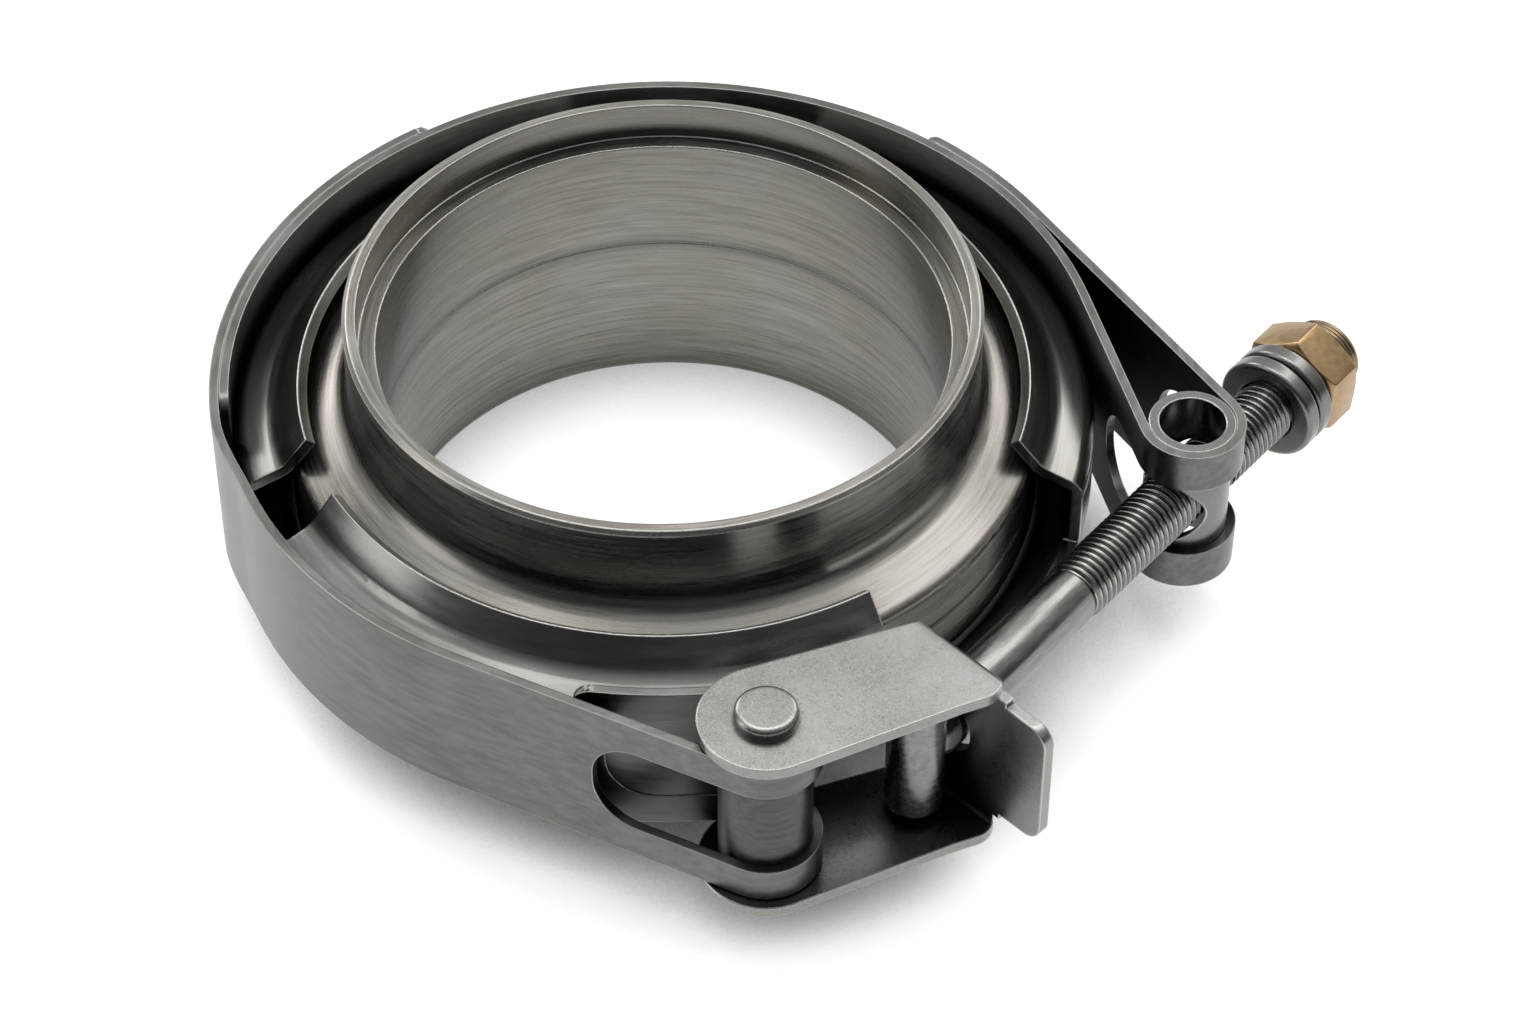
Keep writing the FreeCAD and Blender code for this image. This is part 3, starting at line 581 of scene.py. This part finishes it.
def cutAcross(piece, turn):
    # a cut through the step at one azimuth
    bpy.ops.object.mode_set(mode="EDIT")
    bpy.ops.mesh.select_mode(type="FACE")
    bpy.ops.mesh.select_all(action="DESELECT")
    bpy.ops.object.mode_set(mode="OBJECT")
    for face in piece.data.polygons:
        face.select = joggle["from"] < azimuth(face.center) < joggle["to"]
    bpy.ops.object.mode_set(mode="EDIT")
    bpy.ops.mesh.bisect(plane_co=(0, 0, 0), plane_no=(-math.sin(turn), math.cos(turn), 0))
    bpy.ops.object.mode_set(mode="OBJECT")


def makeHingeStrap():
    piece = copyNode("hinge_strap", joggle["flat"])
    mesh = piece.data
    ends = []
    for turn in (joggle["from"], joggle["to"]):
        reach = [v.co.xy.length for v in mesh.vertices if abs(azimuth(v.co) - turn) < onEnd]
        ends.append((min(reach), max(reach)))
    sweep = joggle["to"] - joggle["from"]
    for i in range(1, joggle["cuts"]):
        cutAcross(piece, math.radians(joggle["from"] + sweep * i / joggle["cuts"]))
    middle = [(pair[0] + pair[1]) / 2 for pair in ends]
    for vertex in mesh.vertices:
        part = (azimuth(vertex.co) - joggle["from"]) / sweep
        if not 0.001 < part < 0.999:
            continue
        ease = part * part * (3 - 2 * part)
        between = middle[0] + (middle[1] - middle[0]) * part - joggle["chordDip"] * mm
        side = 1 if vertex.co.xy.length > between else 0
        reach = ends[0][side] + (ends[1][side] - ends[0][side]) * ease
        scale = reach / vertex.co.xy.length
        vertex.co = (vertex.co.x * scale, vertex.co.y * scale, vertex.co.z)
    mesh.update()
    return piece


def roundNormals(piece, radii):
    # faces that lie on one of the strap's true circles are shaded as that circle, however they are split
    mesh = piece.data
    normals = [Vector(corner.vector) for corner in mesh.corner_normals]
    for face in mesh.polygons:
        for loop, index in zip(face.loop_indices, face.vertices):
            point = mesh.vertices[index].co
            out = Vector((point.x, point.y, 0)).normalized()
            miss = min(abs(point.xy.length / mm - radius) for radius in radii)
            if miss < onCircle and abs(out.dot(face.normal)) > facing:
                normals[loop] = out if out.dot(face.normal) > 0 else -out
    mesh.normals_split_custom_set(normals)


hingeStrap = makeHingeStrap()
smoothByArea(hingeStrap, 30)
roundNormals(hingeStrap, strapCircles)
dressMetal(hingeStrap, "strapSteel")
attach(hingeStrap, "clamp")
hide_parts("hinge_strap")
print("hinge strap made")

# the release link's plates run straight into the eye, and every edge of the sheet is rounded
link = {
    "azimuth": 22.5, "eye": 8.2, "frontWidth": 6.8, "reach": 22.0, "inner": 11.7, "outer": 13.2,
    "rounding": 0.35, "wedgeBack": -5.0, "flat": 0.6,
}


def makeWedge(side):
    # fills the notch between the front edge and the eye, in the plate above (1) or below (-1)
    away = math.hypot(link["reach"], link["frontWidth"])
    touch = -math.atan2(link["frontWidth"], link["reach"]) - math.acos(link["eye"] / away)
    start = Vector((math.cos(touch), math.sin(touch))) * link["eye"]
    hinge = Vector(jointPlace["latch_swing"]["pos_m"])
    turn = Matrix.Translation(hinge) @ Matrix.Rotation(math.radians(link["azimuth"]), 4, "Z")
    pickNothing()
    bpy.ops.mesh.primitive_plane_add(size=mm)
    wedge = startPiece("wedge")
    corners = [
        (start.x, start.y), (link["reach"], -link["frontWidth"]),
        (start.x, link["wedgeBack"]), (link["reach"], link["wedgeBack"]),
    ]
    for vertex, (along, across) in zip(wedge.data.vertices, corners):
        vertex.co = turn @ Vector((along * mm, across * mm, side * link["inner"] * mm))
    bpy.ops.object.mode_set(mode="EDIT")
    bpy.ops.mesh.select_all(action="SELECT")
    depth = side * (link["outer"] - link["inner"]) * mm
    bpy.ops.mesh.extrude_region_move(TRANSFORM_OT_translate={"value": (0, 0, depth)})
    bpy.ops.mesh.select_all(action="SELECT")
    bpy.ops.mesh.normals_make_consistent(inside=False)
    bpy.ops.object.mode_set(mode="OBJECT")
    return wedge


def makeLink():
    piece = copyNode("latch_link", link["flat"])
    for side in (1, -1):
        wedge = makeWedge(side)
        join = piece.modifiers.new("join", "BOOLEAN")
        join.operation = "UNION"
        join.object = wedge
        applyAll(piece)
        bpy.data.objects.remove(wedge)
    mergeFlats(piece, link["flat"])
    rounding = piece.modifiers.new("rounding", "BEVEL")
    rounding.width = link["rounding"] * mm
    rounding.segments = 3
    rounding.limit_method = "ANGLE"
    rounding.angle_limit = math.radians(50)
    applyAll(piece)
    smoothByArea(piece, 60)
    return piece


latchLink = makeLink()
dressMetal(latchLink, "linkSteel")
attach(latchLink, "latch")
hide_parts("latch_link")
print("release link made")

# one tooth of the T-bolt's thread: sunk, footFrom and spare are in mm, the others are shares of the pitch
thread = {"sunk": 0.06, "footFrom": 0.02, "footTo": 0.94, "crestFrom": 0.42, "crestTo": 0.54, "spare": 1.2}


def makeThread():
    # one tooth's outline, taken round and along the rod by a screw
    turns = int((bolt["threadTo"] - thread["spare"] - bolt["threadFrom"]) / bolt["pitch"])
    pickNothing()
    bpy.ops.mesh.primitive_plane_add(size=mm)
    tooth = startPiece("thread")
    inside = bolt["rootRadius"] - thread["sunk"]
    spots = [
        (inside, thread["footFrom"]), (inside, bolt["pitch"] * thread["footTo"]),
        (bolt["crestRadius"], bolt["pitch"] * thread["crestFrom"]),
        (bolt["crestRadius"], bolt["pitch"] * thread["crestTo"]),
    ]
    for vertex, (radius, height) in zip(tooth.data.vertices, spots):
        vertex.co = (radius * mm, 0, (bolt["threadFrom"] + height) * mm)
    bpy.ops.object.mode_set(mode="EDIT")
    bpy.ops.mesh.select_all(action="SELECT")
    bpy.ops.mesh.delete(type="ONLY_FACE")
    bpy.ops.object.mode_set(mode="OBJECT")
    screw = tooth.modifiers.new("screw", "SCREW")
    screw.axis = "Z"
    screw.steps = 40
    screw.render_steps = 40
    screw.iterations = turns
    screw.screw_offset = bolt["pitch"] * mm
    applyAll(tooth)
    bpy.ops.object.mode_set(mode="EDIT")
    bpy.ops.mesh.select_mode(type="VERT")
    bpy.ops.mesh.select_all(action="DESELECT")
    bpy.ops.mesh.select_non_manifold()
    bpy.ops.mesh.fill_holes(sides=8)
    bpy.ops.mesh.select_all(action="SELECT")
    bpy.ops.mesh.normals_make_consistent(inside=False)
    bpy.ops.object.mode_set(mode="OBJECT")
    return tooth


def makeHead():
    # an upright round bar with rounded ends
    radius, half, end = bolt["headRadius"], bolt["headHalf"], bolt["headEnd"]
    side = [(radius, end - half), (radius, half - end)]
    for i in range(1, 6):
        turn = math.radians(i * 16)  # up to 80 degrees, so that a small flat is left
        side.append((radius - end + end * math.cos(turn), half - end + end * math.sin(turn)))
    lower = [(reach, -height) for reach, height in reversed(side[2:])]
    head = turned("head", lower + side, 72)
    head.rotation_euler = (0, math.radians(90), 0)
    pickOnly(head)
    bpy.ops.object.transform_apply(location=True, rotation=True, scale=True)
    return head


def makeRod():
    # its near end is hidden in the head, and it steps down to the thread's root
    shank, root = bolt["shankRadius"], bolt["rootRadius"]
    first, last = bolt["threadFrom"], bolt["threadTo"]
    return turned("rod", [
        (2.9, 0.4), (3.3, 1.4), (shank, 2.4), (shank, 16), (shank, first - 0.2),
        (root + 0.05, first + 0.35), (root, last - 0.7), (root - 0.6, last),
    ], 64)


tBolt = joinPieces("t_bolt_threaded", [makeRod(), makeThread(), makeHead()])
putOnBolt(tBolt)
smooth(tBolt, 28)
dressMetal(tBolt, "boltSteel")
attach(tBolt, "bolt")
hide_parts("t_bolt")
print("T-bolt made")


# lock nut in mm: a hexagon with chamfers, and a grooved collar on its far side
nut = {
    "from": bolt["headReach"] + alongBolt("lock_nut")[0], "acrossFlats": 13.0, "height": 5.8, "bore": 4.0,
    "chamfer": 0.6, "rounding": 0.12, "flat": 0.05, "collar": 4.9, "collarLength": 3.4, "foot": 0.6,
    "plain": 1.1, "grooves": 4, "groove": 0.16, "overlap": 0.3, "darkFrom": 0.2,
}


def makeHexagon(start, stop):
    flat = nut["acrossFlats"] / 2
    pickNothing()
    bpy.ops.mesh.primitive_cylinder_add(
        vertices=6, radius=flat / math.cos(math.radians(30)) * mm, depth=nut["height"] * mm,
        location=(0, 0, (start + stop) / 2 * mm), rotation=(0, 0, math.radians(30))
    )
    body = startPiece("hexagon")
    bpy.ops.object.transform_apply(location=True, rotation=True, scale=True)
    # the cutter's cones cross the hexagon's corners, and it stands a little past both faces
    inset, outset, past = flat - 0.15, flat + 1.2, 0.01
    low, high = start + nut["chamfer"] + 0.18, stop - nut["chamfer"] - 0.18
    cutter = turned("cutter", [
        (nut["bore"], start - past), (inset, start - past), (outset, low),
        (outset, high), (inset, stop + past), (nut["bore"], stop + past),
    ], 96, ring=True)
    cut = body.modifiers.new("chamfers", "BOOLEAN")
    cut.operation = "INTERSECT"
    cut.object = cutter
    applyAll(body)
    bpy.data.objects.remove(cutter)
    mergeFlats(body, nut["flat"])
    rounding = body.modifiers.new("rounding", "BEVEL")
    rounding.width = nut["rounding"] * mm
    rounding.segments = 2
    rounding.limit_method = "ANGLE"
    rounding.angle_limit = math.radians(25)
    applyAll(body)
    mergeFlats(body, nut["flat"])
    return body


def makeCollar(stop):
    reach, low = nut["collar"], stop + nut["foot"]
    outline = [(nut["bore"], stop - nut["overlap"]), (reach, stop - nut["overlap"]), (reach, low)]
    step = (nut["collarLength"] - nut["plain"]) / nut["grooves"]
    for i in range(nut["grooves"]):
        at = low + i * step
        outline += [(reach - nut["groove"], at + step * 0.25), (reach, at + step * 0.6), (reach, at + step)]
    top = stop + nut["collarLength"]
    outline += [(reach - 0.35, top), (nut["bore"] + 0.2, top), (nut["bore"], top - 0.3)]
    return turned("collar", outline, 72, ring=True)


def makeNut():
    stop = nut["from"] + nut["height"]
    return joinPieces("lock_nut_dressed", [makeHexagon(nut["from"], stop), makeCollar(stop)])


lockNut = makeNut()
putOnBolt(lockNut)
smooth(lockNut, 28)
dressMetal(lockNut, "nutBrass")
lockNut.data.materials.append(metals["collarBrass"])
collarFrom = nut["from"] + nut["height"] + nut["darkFrom"]
for face in lockNut.data.polygons:
    if (face.center - bolt["head"]).dot(boltAxis) > collarFrom * mm:
        face.material_index = 1
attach(lockNut, "nut")
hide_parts("lock_nut")
print("lock nut made")


# a pale floor: paint that takes the light, and a lift that fades within the distance (mm) of the part, a
# painted shadow close to it
ground = {
    "size": 8, "drop": 0.0002, "paint": 0.32,
    "distance": 30, "openness": (0.24, 0.62), "lift": (0.02, 0.92),
}


def makeFloor():
    pickNothing()
    bpy.ops.mesh.primitive_plane_add(size=ground["size"], location=(0, 0, -ground["drop"]))
    floor = startPiece("floor")
    mat = bpy.data.materials.new("paleFloor")
    mat.use_nodes = True
    tree = mat.node_tree
    tree.nodes.remove(tree.nodes["Principled BSDF"])
    paint = tree.nodes.new("ShaderNodeBsdfDiffuse")
    paint.inputs["Color"].default_value = (ground["paint"], ground["paint"], ground["paint"], 1)
    nearby = tree.nodes.new("ShaderNodeAmbientOcclusion")
    nearby.samples = 8
    nearby.inputs["Distance"].default_value = ground["distance"] * mm
    lift = tree.nodes.new("ShaderNodeEmission")
    lift.inputs["Color"].default_value = (1, 1, 1, 1)
    rays = tree.nodes.new("ShaderNodeLightPath")
    seen = mathNode(tree, "MAXIMUM", rays.outputs["Is Camera Ray"], rays.outputs["Is Glossy Ray"])
    # painted shadow: the lift is dimmed where the part stands close
    clear = spread(tree, nearby.outputs["AO"], *ground["openness"], *ground["lift"])
    tree.links.new(mathNode(tree, "MULTIPLY", seen, clear), lift.inputs["Strength"])
    both = tree.nodes.new("ShaderNodeAddShader")
    tree.links.new(paint.outputs[0], both.inputs[0])
    tree.links.new(lift.outputs[0], both.inputs[1])
    tree.links.new(both.outputs[0], tree.nodes["Material Output"].inputs["Surface"])
    floor.data.materials.append(mat)


# the studio is pale behind and above, and dim on the camera's side
studio = {
    "toward": (0.0, 0.55, 0.83), "from": 0.05, "to": 0.95,
    "dim": (0.06, 0.06, 0.062), "pale": (0.95, 0.95, 0.95),
}


def makeWorld():
    world = bpy.data.worlds.new("studio")
    bpy.context.scene.world = world
    world.use_nodes = True
    tree = world.node_tree
    place = tree.nodes.new("ShaderNodeTexCoord")
    toward = tree.nodes.new("ShaderNodeVectorMath")
    toward.operation = "DOT_PRODUCT"
    toward.inputs[1].default_value = studio["toward"]
    tree.links.new(place.outputs["Generated"], toward.inputs[0])
    sky = ramp(tree, toward.outputs["Value"], studio["from"], studio["to"], studio["dim"], studio["pale"])
    back = tree.nodes["Background"]
    tree.links.new(sky, back.inputs["Color"])
    back.inputs["Strength"].default_value = 1.0


lamps = {
    "top": {"place": (-0.05, 0.25, 0.88), "aim": (0, 0, 0), "size": (0.6, 0.45), "power": 2.8},
    "right": {"place": (0.42, 0.3, 0.78), "aim": (0, 0, 0.02), "size": (0.35, 0.35), "power": 1.1},
    "left": {"place": (-0.85, -0.15, 0.4), "aim": (0, 0, 0.02), "size": (0.35, 0.8), "power": 1.7},
    "leftBack": {"place": (-0.5, 0.72, 0.55), "aim": (0, 0, 0.02), "size": (0.4, 0.4), "power": 2.0},
    "rightBack": {"place": (0.5, 0.72, 0.55), "aim": (0, 0, 0.02), "size": (0.4, 0.4), "power": 1.4},
}


def makeLamps():
    for name, lamp in lamps.items():
        bpy.ops.object.light_add(type="AREA", location=lamp["place"])
        light = bpy.context.active_object
        light.name = name + "Lamp"
        light.data.shape = "RECTANGLE"
        light.data.size, light.data.size_y = lamp["size"]
        light.data.energy = lamp["power"]
        aim = Vector(lamp["aim"]) - Vector(lamp["place"])
        light.rotation_euler = aim.to_track_quat("-Z", "Y").to_euler()


camera = {
    "place": (0.01323, -0.3911, 0.4044), "tilt": 44.56, "roll": 0.40,
    "lens": 100.0, "sensor": 36, "near": 0.01,
}


def makeCamera():
    bpy.ops.object.camera_add(location=camera["place"])
    view = bpy.context.active_object
    view.rotation_euler = (math.radians(camera["tilt"]), 0, 0)
    roll = Matrix.Rotation(math.radians(camera["roll"]), 3, "Z")
    view.rotation_euler = (view.rotation_euler.to_matrix() @ roll).to_euler()
    view.data.sensor_width = camera["sensor"]
    view.data.lens = camera["lens"]
    view.data.clip_start = camera["near"]
    bpy.context.scene.camera = view


makeFloor()
makeWorld()
makeLamps()
makeCamera()
bpy.context.scene.view_settings.view_transform = "Standard"
print("floor, light and camera set")
